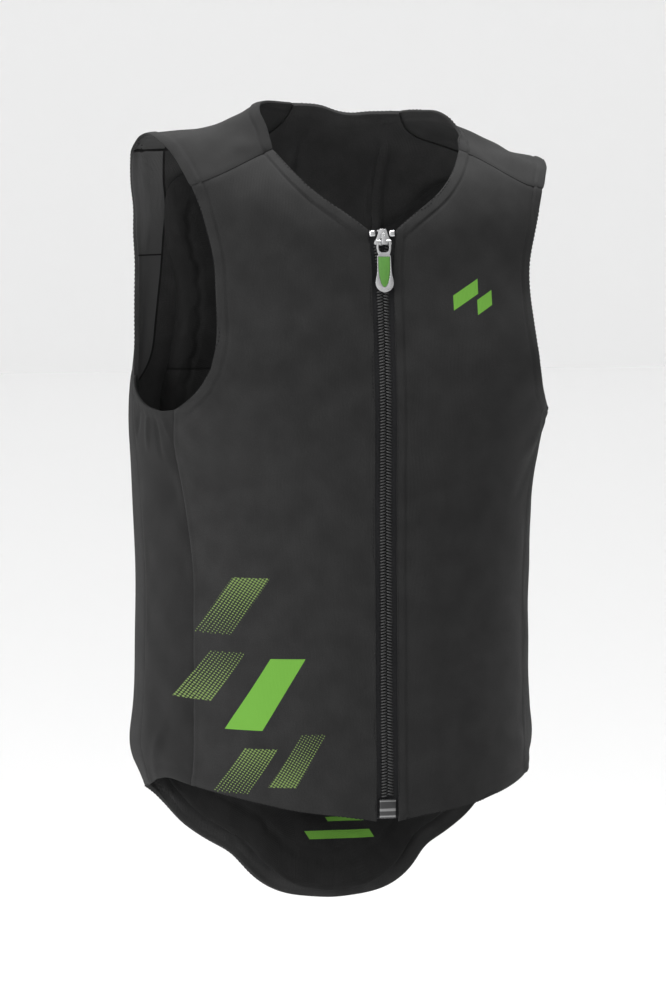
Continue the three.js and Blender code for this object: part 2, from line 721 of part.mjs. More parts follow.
// Stands a small part on the cloth: the part's z goes along the cloth's outward normal.
function onCloth(geometry, x, z) {
  const turn = turnAcross(Math.abs(x), z, false) * Math.sign(x || 1);
  const p = skin(turn, z);
  const n = skinNormal(0, z);
  const across = new THREE.Vector3(1, 0, 0);
  const up = n.clone().cross(across).normalize();
  const place = new THREE.Matrix4().makeBasis(across, up, n).setPosition(
    new THREE.Vector3(x, p.y, z),
  );
  return geometry.clone().applyMatrix4(place);
}

const sliderHeightUp = zipLength + sliderRise - sliderHeight / 2;
const stopHeightUp = zipLength + stopSize.rise;
const stopGeometry = (side) => {
  const half = stopSize.width / 2;
  const tall = stopSize.height / 2;
  const lowest = -tapeFront + seamGap;
  return onCloth(
    block(side * stopSize.offset - half, side * stopSize.offset + half, -tall, tall,
      lowest, lowest + stopSize.thickness),
    0, stopHeightUp - tall,
  );
};
const retainerGeometry = () => {
  const half = retainerSize.width / 2;
  const lowest = -tapeFront + seamGap;
  return onCloth(
    block(-half, half, 0, retainerSize.height, lowest, lowest + retainerSize.thickness),
    0, retainerUp,
  );
};

// Assembly
const group = new THREE.Group();

function add(name, geometry, colour, roughness, metalness = 0) {
  const moved = geometry.clone().translate(0, 0, -shoulderRest);
  moved.computeVertexNormals();
  const mesh = new THREE.Mesh(
    moved,
    new THREE.MeshStandardMaterial({ color: colour, roughness, metalness }),
  );
  mesh.name = name;
  group.add(mesh);
}

const cloth = 0x26272a;
const lining = 0x1c1d1f;
const silver = 0xc4c6c8;
for (const [side, hand] of [[-1, 'right'], [1, 'left']]) {
  add(`front_panel_${hand}`, frontPanel(side), cloth, 0.9);
  add(`side_panel_${hand}`, sidePanel(side), cloth, 0.9);
  add(`yoke_${hand}`, yoke(side), cloth, 0.9);
  add(`zip_tape_${hand}`, zipTape(side), 0x17181a, 0.95);
  add(`zip_coil_${hand}`, zipCoil(side), 0x1f2022, 0.5);
  add(`top_stop_${hand}`, stopGeometry(side), silver, 0.3, 1);
}
add('back_cover', backCover(), cloth, 0.9);
add('back_protector', backProtector(), lining, 0.95);
add('zip_retainer', retainerGeometry(), 0x4a4b4d, 0.4, 1);
add('slider', onCloth(sliderGeometry(), 0, sliderHeightUp), silver, 0.3, 1);
const atBar = (geometry) => geometry.translate(0, barAxis.up, barAxis.out);
add('pull', onCloth(atBar(pullGeometry()), 0, sliderHeightUp), silver, 0.3, 1);
add('pull_inlay', onCloth(atBar(inlayGeometry()), 0, sliderHeightUp), 0x5fa33a, 0.5);

export default group;
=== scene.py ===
# A sleeveless protective vest for riding, held up in the shape that it has when it is worn.
# Black stretch cloth with a heavy coil zip in front, and a padded back that runs down as a tail.
import math

import bmesh
import bpy
import numpy as np
from mathutils import Matrix, Vector
from mathutils.bvhtree import BVHTree


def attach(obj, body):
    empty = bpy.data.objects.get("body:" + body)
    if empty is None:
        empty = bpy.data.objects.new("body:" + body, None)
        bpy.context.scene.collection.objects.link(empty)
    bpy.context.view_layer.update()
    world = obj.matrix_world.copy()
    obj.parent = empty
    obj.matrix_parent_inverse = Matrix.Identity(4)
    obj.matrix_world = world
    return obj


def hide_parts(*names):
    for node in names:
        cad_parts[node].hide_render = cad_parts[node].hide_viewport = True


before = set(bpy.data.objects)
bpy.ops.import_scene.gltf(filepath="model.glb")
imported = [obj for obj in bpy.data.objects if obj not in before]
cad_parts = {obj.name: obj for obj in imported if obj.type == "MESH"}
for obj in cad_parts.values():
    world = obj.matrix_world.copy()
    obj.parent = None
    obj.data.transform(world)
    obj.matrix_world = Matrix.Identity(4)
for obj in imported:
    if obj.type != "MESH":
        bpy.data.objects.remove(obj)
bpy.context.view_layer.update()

# The camera
# It stands 3.5 m off, a little to the wearer's right and a little above, with a long lens.
look_at = Vector((0, 0, -0.272))
azimuth = math.radians(-14)
elevation = math.radians(6)
roll = math.radians(0.5)
stand_off = 3.5
back = Vector((
    math.sin(azimuth) * math.cos(elevation),
    -math.cos(azimuth) * math.cos(elevation),
    math.sin(elevation),
))
right = Vector((math.cos(azimuth), math.sin(azimuth), 0))
above = back.cross(right)
camera_data = bpy.data.cameras.new("camera")
camera_data.lens = 166.32
camera_data.sensor_width = 36
camera_data.shift_x = -0.022
camera_data.clip_end = 100
camera = bpy.data.objects.new("camera", camera_data)
bpy.context.scene.collection.objects.link(camera)
turned_right = right * math.cos(roll) + above * math.sin(roll)
turned_above = above * math.cos(roll) - right * math.sin(roll)
axes = Matrix((turned_right, turned_above, back)).transposed().to_4x4()
camera.matrix_world = Matrix.Translation(look_at + back * stand_off) @ axes
bpy.context.scene.camera = camera

# The floor and the light
# A pale floor and a pale wall far enough off that no shadow reaches them, and soft lamps, of which
# the small one lights the inside of the neck. The light falls off from the wearer's right.
backdrop_size = 30
bpy.ops.object.select_all(action="DESELECT")
bpy.ops.mesh.primitive_plane_add(size=backdrop_size, location=(0, 0, -1.35))
floor = bpy.context.object
floor.name = "floor"
bpy.ops.mesh.primitive_plane_add(
    size=backdrop_size, location=(0, 14.9, 0), rotation=(math.radians(90), 0, 0),
)
wall = bpy.context.object
wall.name = "wall"
floor_paint = bpy.data.materials.new("floor_paint")
floor_paint.use_nodes = True
floor_shader = floor_paint.node_tree.nodes["Principled BSDF"]
floor_shader.inputs["Base Color"].default_value = (0.85, 0.85, 0.85, 1)
floor_shader.inputs["Roughness"].default_value = 0.9
floor.data.materials.append(floor_paint)
wall.data.materials.append(floor_paint)

world = bpy.data.worlds.new("studio")
world.use_nodes = True
sky = world.node_tree
sky_way = sky.nodes.new("ShaderNodeSeparateXYZ")
sky.links.new(sky.nodes.new("ShaderNodeTexCoord").outputs["Generated"], sky_way.inputs[0])
sky_side = sky.nodes.new("ShaderNodeMath")
sky_side.operation = "MULTIPLY_ADD"
sky_side.inputs[1].default_value = -0.88
sky_side.inputs[2].default_value = 0.98
sky.links.new(sky_way.outputs["X"], sky_side.inputs[0])
sky_total = sky.nodes.new("ShaderNodeMath")
sky_total.operation = "MULTIPLY_ADD"
sky_total.inputs[1].default_value = 0.20
sky.links.new(sky_way.outputs["Z"], sky_total.inputs[0])
sky.links.new(sky_side.outputs[0], sky_total.inputs[2])
sky.nodes["Background"].inputs["Color"].default_value = (1, 1, 1, 1)
sky.links.new(sky_total.outputs[0], sky.nodes["Background"].inputs["Strength"])
bpy.context.scene.world = world
bpy.context.scene.view_settings.view_transform = "Standard"


def softbox(name, place, aim, size, power):
    """A square area lamp at a place, turned towards a point on the vest."""
    lamp = bpy.data.lights.new(name, "AREA")
    lamp.size = size
    lamp.energy = power
    holder = bpy.data.objects.new(name, lamp)
    bpy.context.scene.collection.objects.link(holder)
    holder.location = place
    holder.rotation_mode = "QUATERNION"
    holder.rotation_quaternion = (Vector(aim) - Vector(place)).to_track_quat("-Z", "Y")


softbox("left_softbox", (-2.6, -1.4, 0.6), (0, 0, -0.25), 1.4, 60)
softbox("neck_softbox", (-0.5, -1.6, 1.9), (0, 0.08, -0.08), 0.5, 14)
softbox("top_softbox", (0.6, 0.3, 2.2), (0.05, 0, -0.05), 1.0, 120)

# Front panels
# Each front is one piece of knitted stretch cloth, cut to the chest and sewn to the side, the yoke
# and the zip, with its free edges turned under and stitched down. The prints are pressed on.
hands = ("right", "left")
merge_gap = 0.00002


def select_only(piece):
    """Makes a piece the one selected and the active one."""
    bpy.ops.object.select_all(action="DESELECT")
    piece.select_set(True)
    bpy.context.view_layer.objects.active = piece


def merged_copy(node, name, gap):
    """A bare copy of a frame mesh with its points merged, left in edit mode with all selected."""
    piece = bpy.data.objects.new(name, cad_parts[node].data.copy())
    bpy.context.scene.collection.objects.link(piece)
    select_only(piece)
    piece.data.materials.clear()
    bpy.ops.mesh.customdata_custom_splitnormals_clear()
    bpy.ops.object.mode_set(mode="EDIT")
    bpy.ops.mesh.select_all(action="SELECT")
    bpy.ops.mesh.remove_doubles(threshold=gap)
    return piece


def join_cells():
    """Joins the triangles of the mesh being edited into four-sided cells."""
    bpy.ops.mesh.tris_convert_to_quads(
        face_threshold=math.radians(40), shape_threshold=math.radians(60),
    )


def skin_of(node, name):
    """The outer face of a frame panel, merged into one sheet of four-sided cells."""
    piece = merged_copy(node, name, merge_gap)
    join_cells()
    keep_outer_face(bmesh.from_edit_mesh(piece.data))
    bmesh.update_edit_mesh(piece.data)
    bpy.ops.mesh.delete(type="FACE")
    bpy.ops.object.mode_set(mode="OBJECT")
    return piece


def keep_outer_face(mesh):
    """Selects all but the outer one of a sheet's two faces, which end at its sharp rim."""
    core = Vector((0, 0.01, -0.25))
    sharp = math.radians(50)
    islands = []
    left = set(mesh.faces)
    while left:
        start = left.pop()
        island = [start]
        queue = [start]
        while queue:
            face = queue.pop()
            for edge in face.edges:
                if len(edge.link_faces) != 2 or edge.calc_face_angle(math.pi) > sharp:
                    continue
                for other in edge.link_faces:
                    if other in left:
                        left.discard(other)
                        island.append(other)
                        queue.append(other)
        islands.append(island)
    islands.sort(key=lambda faces: -sum(face.calc_area() for face in faces))

    def outward(faces):
        return sum(
            face.normal.dot(face.calc_center_median() - core) * face.calc_area() for face in faces
        )

    outer = max(islands[:2], key=outward)
    kept = set(outer)
    for face in mesh.faces:
        face.select_set(face not in kept)


def apply_all(piece):
    """Applies every modifier on a piece."""
    bpy.context.view_layer.objects.active = piece
    for modifier in list(piece.modifiers):
        bpy.ops.object.modifier_apply(modifier=modifier.name)


def lay_flat(piece):
    """Gives a sheet a UV map in metres, laid flat like its cut: u across and v up from the hem."""
    bpy.context.view_layer.objects.active = piece
    bpy.ops.object.mode_set(mode="EDIT")
    bpy.ops.mesh.select_all(action="SELECT")
    if not piece.data.uv_layers:
        piece.data.uv_layers.new(name="cut")
    bpy.ops.uv.unwrap(method="ANGLE_BASED", margin=0)
    bpy.ops.object.mode_set(mode="OBJECT")
    mesh = piece.data
    layer = mesh.uv_layers[0]
    layer.name = "cut"
    uv = np.zeros(len(mesh.loops) * 2)
    layer.data.foreach_get("uv", uv)
    uv = uv.reshape(-1, 2)
    points = np.array([v.co for v in mesh.vertices])
    corner = np.array([loop.vertex_index for loop in mesh.loops])
    at = points[corner]
    flat_area = 0
    for polygon in mesh.polygons:
        ring = uv[list(polygon.loop_indices)]
        turned = np.roll(ring, -1, axis=0)
        flat_area += 0.5 * abs((ring[:, 0] * turned[:, 1] - ring[:, 1] * turned[:, 0]).sum())
    real_area = sum(polygon.area for polygon in mesh.polygons)
    uv = (uv - uv.mean(axis=0)) * math.sqrt(real_area / flat_area)
    height = at[:, 2] - at[:, 2].mean()
    rise = np.linalg.lstsq(uv, height, rcond=None)[0]
    rise /= np.linalg.norm(rise)
    across = np.array([rise[1], -rise[0]])
    laid = np.stack([uv @ across, uv @ rise + at[:, 2].mean()], axis=1)
    layer.data.foreach_set("uv", laid.ravel())
    return real_area


def keep_corners(piece):
    """Creases the points where a sheet's outline turns sharply, so that rounding leaves them."""
    sheet = bmesh.new()
    sheet.from_mesh(piece.data)
    crease = sheet.verts.layers.float.new("crease_vert")
    for point in sheet.verts:
        outline = [edge for edge in point.link_edges if edge.is_boundary]
        if len(outline) != 2:
            continue
        ways = [(edge.other_vert(point).co - point.co).normalized() for edge in outline]
        if ways[0].angle(-ways[1]) > math.radians(33):
            point[crease] = 1
    sheet.to_mesh(piece.data)
    sheet.free()


def points_of(mesh):
    """A mesh's points as rows of x, y and z."""
    rows = np.zeros(len(mesh.vertices) * 3)
    mesh.vertices.foreach_get("co", rows)
    return rows.reshape(-1, 3)


def refine(piece, levels):
    """Rounds a piece off between the frame's points, with a surface that runs through them."""
    keep_corners(piece)
    smooth = piece.modifiers.new("refine", "SUBSURF")
    smooth.levels = levels
    smooth.render_levels = levels
    smooth.boundary_smooth = "PRESERVE_CORNERS"
    aim = points_of(piece.data)
    control = aim.copy()
    for _ in range(4):
        piece.data.vertices.foreach_set("co", control.ravel())
        piece.data.update()
        bpy.context.view_layer.update()
        rounded = piece.evaluated_get(bpy.context.evaluated_depsgraph_get())
        control += aim - points_of(rounded.data)[:len(aim)]
    piece.data.vertices.foreach_set("co", control.ravel())
    apply_all(piece)


def thicken(piece, thickness, outer, inner, rim_points):
    """Gives a sheet its thickness inwards, with a material on each face. The rim is rounded over on
    the free edges and hardly at all on the sewn ones. rim_points says by index which are free."""
    piece.data.materials.append(outer)
    piece.data.materials.append(inner)
    wall = piece.modifiers.new("wall", "SOLIDIFY")
    wall.thickness = thickness
    wall.offset = -1
    wall.use_even_offset = True
    wall.material_offset = 1
    weights = piece.data.attributes.new("bevel_weight_edge", "FLOAT", "EDGE")
    for edge in piece.data.edges:
        ends = [rim_points.get(index) for index in edge.vertices]
        if None not in ends:
            weights.data[edge.index].value = 1 if all(ends) else 0.2
    rim = piece.modifiers.new("rim", "BEVEL")
    rim.width = thickness * 0.42
    rim.segments = 3
    rim.limit_method = "WEIGHT"
    apply_all(piece)
    select_only(piece)
    bpy.ops.object.shade_smooth()


cloth_thickness = 0.0017
sheet_levels = 3


def outline_of(piece, neighbours):
    """The points round a sheet in order, each with the frame panel sewn on there, or with none, and
    by index whether they are free. Sewn points close up on their neighbour."""
    sheet = bmesh.new()
    sheet.from_mesh(piece.data)
    sheet.verts.ensure_lookup_table()
    walls = {}
    for name in neighbours:
        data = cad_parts[name].data
        walls[name] = BVHTree.FromPolygons(
            [v.co for v in data.vertices], [tuple(f.vertices) for f in data.polygons],
        )
    start = next(v for v in sheet.verts if v.is_boundary)
    order = [start]
    while True:
        nearby = [e.other_vert(order[-1]) for e in order[-1].link_edges if e.is_boundary]
        ahead = [v for v in nearby if v is not start and v not in order[-2:]]
        if not ahead:
            break
        order.append(ahead[0])
        if len(order) > 2 and start in [e.other_vert(order[-1]) for e in order[-1].link_edges]:
            break
    sewn = []
    for point in order:
        near = {name: wall.find_nearest(point.co) for name, wall in walls.items()}
        name = min(near, key=lambda key: near[key][3]) if near else ""
        sewn.append(name if near and near[name][3] < 0.002 else "")
        if sewn[-1]:
            point.co = point.co.lerp(near[name][0], 0.47)
    points = [v.co.copy() for v in order]
    indices = [v.index for v in order]
    sheet.to_mesh(piece.data)
    sheet.free()
    rim_points = {index: name == "" for index, name in zip(indices, sewn)}
    return np.array(points), np.array(sewn), rim_points


def distance_to(points, line):
    """How far each point lies from a line of close points, or far away where there is no line."""
    if len(line) == 0:
        return np.full(len(points), 1.0)
    nearest = np.empty(len(points))
    for first in range(0, len(points), 2000):
        part = points[first:first + 2000]
        gaps = np.linalg.norm(part[:, None, :] - line[None, :, :], axis=2)
        nearest[first:first + 2000] = gaps.min(axis=1)
    return nearest


def ramp(values, low, high):
    """Runs smoothly from 0 at low to 1 at high."""
    share = np.clip((values - low) / (high - low), 0, 1)
    return share * share * (3 - 2 * share)


def bell(values, width):
    """1 in the middle, falling away over the width on each side."""
    return np.exp(-(values / width) ** 2)


def soft_waves(points, length, seed):
    """A slow unevenness with waves of about the given length."""
    dice = np.random.default_rng(seed)
    total = np.zeros(len(points))
    for _ in range(9):
        way = dice.normal(size=3)
        way *= 2 * math.pi / (length * dice.uniform(0.7, 1.5) * np.linalg.norm(way))
        total += np.sin(points @ way + dice.uniform(0, 2 * math.pi))
    return total / 3


def press(piece, offsets):
    """Moves a piece's points along its normals, outwards where the offset is positive."""
    normals = np.zeros(len(piece.data.vertices) * 3)
    piece.data.vertices.foreach_get("normal", normals)
    moved = points_of(piece.data) + normals.reshape(-1, 3) * offsets[:, None]
    piece.data.vertices.foreach_set("co", moved.ravel())
    piece.data.update()


def keep_value(piece, name, values):
    """Stores a number on each of a piece's points, for its material."""
    layer = piece.data.attributes.new(name, "FLOAT", "POINT")
    layer.data.foreach_set("value", values.astype(np.float32))


turned_width = 0.0080
turned_height = 0.0006
turned_blend = 0.001
stitch_line = turned_width + 0.0008
stitch_groove = 0.0005
stitch_groove_width = 0.0011
seam_depth = 0.0004
seam_width = 0.0022
facing_width = 0.026
facing_joint = -0.090
no_arm_edge = 1.0


def turned_edge(gap):
    """The relief of an edge folded under and stitched down, by the distance from the fold."""
    raised = 1 - ramp(gap, turned_width - turned_blend, turned_width + turned_blend)
    return turned_height * raised - stitch_groove * bell(gap - stitch_line, stitch_groove_width)


def folds(points, table, across=0):
    """Creases in the cloth: each is a line from one place to another, with its height and width.
    It is seen from the front (across 0) or from the side (across 1)."""
    total = np.zeros(len(points))
    for x0, z0, x1, z1, height, width in table:
        along = np.array([x1 - x0, z1 - z0])
        length = np.linalg.norm(along)
        along /= length
        offset = points[:, [across, 2]] - np.array([x0, z0])
        share = offset @ along / length
        aside = offset @ np.array([-along[1], along[0]])
        window = np.sin(np.pi * np.clip(share, 0, 1)) ** 0.7
        total += height * bell(aside, width) * window
    return total


def new_paint(name):
    """An empty material with its node tree and its shader."""
    paint = bpy.data.materials.new(name)
    paint.use_nodes = True
    return paint, paint.node_tree, paint.node_tree.nodes["Principled BSDF"]


def maths(tree, kind, first, second=None, third=None):
    """The result of a math node over one to three values, each a socket or a number."""
    node = tree.nodes.new("ShaderNodeMath")
    node.operation = kind
    for slot, value in enumerate((first, second, third)):
        if value is None:
            continue
        if isinstance(value, (int, float)):
            node.inputs[slot].default_value = value
        else:
            tree.links.new(value, node.inputs[slot])
    return node.outputs[0]


def mixed(tree, share, low, high):
    """Mixes two colours, each a socket or four numbers."""
    node = tree.nodes.new("ShaderNodeMix")
    node.data_type = "RGBA"
    tree.links.new(share, node.inputs["Factor"])
    for name, value in (("A", low), ("B", high)):
        slot = [i for i in node.inputs if i.name == name and i.type == "RGBA"][0]
        if isinstance(value, tuple):
            slot.default_value = value
        else:
            tree.links.new(value, slot)
    return [o for o in node.outputs if o.type == "RGBA"][0]


def noise_at(tree, vector, scale, detail):
    """A noise texture's value, over the given coordinates."""
    node = tree.nodes.new("ShaderNodeTexNoise")
    node.inputs["Scale"].default_value = scale
    node.inputs["Detail"].default_value = detail
    tree.links.new(vector, node.inputs["Vector"])
    return node.outputs["Fac"]


def place_of(tree):
    """The coordinates of a piece's points, as they are in the frame."""
    return tree.nodes.new("ShaderNodeTexCoord").outputs["Object"]


def axes_of(tree):
    """The same coordinates as three values."""
    split = tree.nodes.new("ShaderNodeSeparateXYZ")
    tree.links.new(place_of(tree), split.inputs[0])
    return split.outputs


def bumped(tree, shader, height, distance, strength):
    """Gives a shader a fine relief."""
    bump = tree.nodes.new("ShaderNodeBump")
    bump.inputs["Strength"].default_value = strength
    bump.inputs["Distance"].default_value = distance
    tree.links.new(height, bump.inputs["Height"])
    tree.links.new(bump.outputs["Normal"], shader.inputs["Normal"])


def stretch_cloth(name, dark, light, edge_band=None):
    """Matt black knitted cloth: a fine rib along the cut, a soft mottle and a little nap. Where the
    cloth has an edge_band, the strip that near to the arm's edge is a lighter facing."""
    paint, tree, shader = new_paint(name)
    shader.inputs["Roughness"].default_value = 0.9
    shader.inputs["Specular IOR Level"].default_value = 0.16
    shader.inputs["Sheen Weight"].default_value = 0.015
    shader.inputs["Sheen Roughness"].default_value = 0.5
    cut = tree.nodes.new("ShaderNodeUVMap")
    cut.uv_map = "cut"
    uv = cut.outputs["UV"]
    mottle = noise_at(tree, uv, 45, 5)
    grain = noise_at(tree, uv, 1100, 2)
    both = maths(tree, "MULTIPLY", mottle, grain)
    share = maths(tree, "MULTIPLY_ADD", both, 4.0, -0.6)
    colour = mixed(tree, share, (dark, dark, dark, 1), (light, light, light, 1))
    if edge_band:
        gap = tree.nodes.new("ShaderNodeAttribute")
        gap.attribute_name = "arm_edge"
        inside = maths(tree, "LESS_THAN", gap.outputs["Fac"], edge_band)
        pale = (light * 1.9, light * 1.9, light * 1.9, 1)
        colour = mixed(tree, inside, colour, pale)
        line = maths(tree, "COMPARE", gap.outputs["Fac"], edge_band, 0.0009)
        joint = maths(tree, "COMPARE", axes_of(tree)["Z"], facing_joint, 0.0006)
        line = maths(tree, "MAXIMUM", line, maths(tree, "MULTIPLY", joint, inside))
        colour = mixed(tree, line, colour, (0.004, 0.004, 0.004, 1))
    tree.links.new(colour, shader.inputs["Base Color"])
    rib = tree.nodes.new("ShaderNodeTexWave")
    rib.bands_direction = "X"
    rib.inputs["Scale"].default_value = 290
    rib.inputs["Distortion"].default_value = 1.5
    rib.inputs["Detail Scale"].default_value = 6
    tree.links.new(uv, rib.inputs["Vector"])
    knit = maths(tree, "ADD", rib.outputs["Fac"], grain)
    bumped(tree, shader, knit, 0.0003, 0.35)
    return paint


def print_and_shade(paint, marks, ink_and_shade_colour):
    """Paints flat marks on a cloth, seen from the front: prints, and dark lines of painted shade.
    Each is a slanted bar, in metres, and is solid or broken up into dots that shrink towards one end."""
    tree = paint.node_tree
    shader = tree.nodes["Principled BSDF"]
    below = shader.inputs["Base Color"].links[0].from_socket
    axes = axes_of(tree)
    ink_and_shade = None
    for x, z, length, width, slant, tone in marks:
        turn = math.radians(slant)
        dx = maths(tree, "SUBTRACT", axes["X"], x)
        dz = maths(tree, "SUBTRACT", axes["Z"], z)
        along = maths(
            tree, "ADD", maths(tree, "MULTIPLY", dx, math.cos(turn)),
            maths(tree, "MULTIPLY", dz, math.sin(turn)),
        )
        skewed = maths(
            tree, "ADD", maths(tree, "MULTIPLY", dz, math.cos(turn)),
            maths(tree, "MULTIPLY", dx, -math.sin(turn)),
        )
        leaned = maths(tree, "MULTIPLY_ADD", skewed, 0.6, along)
        bar = maths(
            tree, "MULTIPLY",
            maths(tree, "LESS_THAN", maths(tree, "ABSOLUTE", leaned), length / 2),
            maths(tree, "LESS_THAN", maths(tree, "ABSOLUTE", skewed), width / 2),
        )
        if tone != "solid":
            cells = [
                maths(tree, "PINGPONG", value, dot_pitch / 2) for value in (along, skewed)
            ]
            off = [maths(tree, "SUBTRACT", cell, dot_pitch / 4) for cell in cells]
            size = maths(tree, "MULTIPLY_ADD", leaned, dot_fade * tone, dot_pitch * 0.155)
            squares = [maths(tree, "MULTIPLY", value, value) for value in off]
            radius = maths(tree, "SQRT", maths(tree, "ADD", *squares))
            bar = maths(tree, "MULTIPLY", bar, maths(tree, "LESS_THAN", radius, size))
        ink_and_shade = bar if ink_and_shade is None else maths(tree, "MAXIMUM", ink_and_shade, bar)
    tree.links.new(mixed(tree, ink_and_shade, below, ink_and_shade_colour), shader.inputs["Base Color"])


dot_pitch = 0.0038
dot_fade = 0.0075
print_green = (0.085, 0.215, 0.028, 1)
print_pale = (0.100, 0.150, 0.045, 1)
stitch_pitch = 0.0032
stitch_length = 0.0021
stitch_lift = 0.0001
thread_radius = 0.00032


def thread_paint(name, tone):
    """Twisted polyester thread."""
    paint, tree, shader = new_paint(name)
    shader.inputs["Roughness"].default_value = 0.8
    shader.inputs["Specular IOR Level"].default_value = 0.1
    twist = noise_at(tree, place_of(tree), 3500, 1)
    dark = (tone, tone, tone * 1.05, 1)
    light = (tone * 1.9, tone * 1.9, tone * 2, 1)
    tree.links.new(mixed(tree, twist, dark, light), shader.inputs["Base Color"])
    bumped(tree, shader, twist, 0.0001, 0.4)
    return paint


def mesh_piece(name, points, faces, paint):
    """A smooth new piece from its points and faces, in one material."""
    data = bpy.data.meshes.new(name)
    data.from_pydata(points, [], faces)
    data.materials.append(paint)
    data.shade_smooth()
    piece = bpy.data.objects.new(name, data)
    bpy.context.scene.collection.objects.link(piece)
    return piece


def stitch_row(name, line, surface, inset):
    """A row of machine stitches beside a line, laid on a surface and moved in from the line. The line
    is a list of runs of points. One stitch is modelled and then copied along."""
    bpy.ops.mesh.primitive_uv_sphere_add(segments=6, ring_count=4, radius=1)
    stitch = bpy.context.object
    shape = points_of(stitch.data) * np.array([stitch_length / 2, thread_radius, thread_radius])
    rings = [list(face.vertices) for face in stitch.data.polygons]
    bpy.data.objects.remove(stitch)
    tree = BVHTree.FromPolygons(
        [v.co for v in surface.data.vertices], [tuple(f.vertices) for f in surface.data.polygons],
    )
    points, faces = [], []
    for run in line:
        run = np.array(run)
        if len(run) < 3:
            continue
        moved = []
        for i in range(len(run)):
            ahead = Vector(run[min(i + 1, len(run) - 1)] - run[max(i - 1, 0)])
            spot, normal = tree.find_nearest(Vector(run[i]))[:2]
            if ahead.length < 1e-6:
                continue
            side = ahead.normalized().cross(normal)
            moved.append(tree.find_nearest(spot + side * inset)[0])
        moved = np.array(moved)
        steps = np.concatenate([[0], np.cumsum(np.linalg.norm(np.diff(moved, axis=0), axis=1))])
        for at in np.arange(stitch_pitch, steps[-1] - stitch_pitch, stitch_pitch):
            here = Vector([np.interp(at, steps, moved[:, k]) for k in range(3)])
            there = Vector([np.interp(at + 0.001, steps, moved[:, k]) for k in range(3)])
            along = (there - here).normalized()
            spot, normal = tree.find_nearest(here)[:2]
            across = normal.cross(along).normalized()
            up = along.cross(across)
            turned = np.array([along, across, up])
            placed = shape @ turned + np.array(spot + normal * stitch_lift)
            faces += [[k + len(points) for k in ring] for ring in rings]
            points += placed.tolist()
    row = mesh_piece(name, points, faces, dark_thread)
    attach(row, "vest")


def runs_where(points, wanted):
    """Cuts a closed ring of points into the runs where a test holds."""
    runs = []
    first = next((i for i in range(len(wanted)) if not wanted[i]), None)
    if first is None:
        return [np.concatenate([points, points[:1]])]
    run = []
    for i in range(len(points)):
        k = (first + i) % len(points)
        if wanted[k]:
            run.append(points[k])
        elif run:
            runs.append(np.array(run))
            run = []
    if run:
        runs.append(np.array(run))
    return runs


front_tones = (0.009, 0.015)
plain_cloth = stretch_cloth("plain_cloth", *front_tones)
# The inner faces get a lighter copy of the cloth: its lighter tone is painted light on the shaded
# inside of the vest.
lit_inner_cloth = stretch_cloth("lit_inner_cloth", 0.016, 0.026, edge_band=facing_width)
dark_thread = thread_paint("dark_thread", 0.005)
# Each printed bar: its place across and up, its length, width and slant in degrees, and its tone,
# which is solid or the end to which the dots shrink.
lower_marks = [
    (-0.1060, -0.3440, 0.050, 0.0200, 62, 1),
    (-0.1190, -0.3980, 0.044, 0.0180, 62, -1),
    (-0.0850, -0.4080, 0.062, 0.0200, 62, "solid"),
    (-0.0980, -0.4660, 0.040, 0.0180, 62, 1),
    (-0.0640, -0.4560, 0.046, 0.0160, 62, -1),
]
chest_marks = [
    (0.0640, -0.1120, 0.0110, 0.0200, 90, "solid"),
    (0.0790, -0.1180, 0.0110, 0.0120, 90, "solid"),
]
front_folds = {
    "right": [
        (-0.158, -0.196, -0.118, -0.236, 0.0016, 0.0060),
        (-0.156, -0.212, -0.124, -0.262, 0.0012, 0.0050),
        (-0.140, -0.300, -0.070, -0.330, 0.0009, 0.0110),
        (-0.150, -0.470, -0.100, -0.430, 0.0014, 0.0070),
        (-0.110, -0.060, -0.060, -0.110, -0.0010, 0.0090),
        (-0.060, -0.100, -0.030, -0.260, 0.0007, 0.0120),
    ],
    "left": [
        (0.158, -0.200, 0.112, -0.246, 0.0017, 0.0065),
        (0.150, -0.222, 0.110, -0.276, -0.0012, 0.0060),
        (0.140, -0.330, 0.060, -0.350, 0.0010, 0.0120),
        (0.148, -0.466, 0.094, -0.440, 0.0013, 0.0080),
        (0.100, -0.052, 0.056, -0.104, -0.0009, 0.0090),
        (0.040, -0.120, 0.024, -0.300, 0.0007, 0.0120),
    ],
}
dotted_marks = [mark for mark in lower_marks if mark[5] != "solid"]
solid_marks = [mark for mark in lower_marks if mark[5] == "solid"]
printed_cloth = {hand: stretch_cloth(f"printed_cloth_{hand}", *front_tones) for hand in hands}
print_and_shade(printed_cloth["right"], dotted_marks, print_pale)
print_and_shade(printed_cloth["right"], solid_marks, print_green)
print_and_shade(printed_cloth["left"], chest_marks, print_green)
zip_edge_width = 0.024
side_ridge = {"height": 0.0005, "inset": 0.0022, "width": 0.0014}
yoke_groove_depth = 0.0009
yoke_groove_width = 0.0026
front_slack = 0.016
placket_line = 0.0062
placket_height = 0.0008
placket_inset = 0.0016
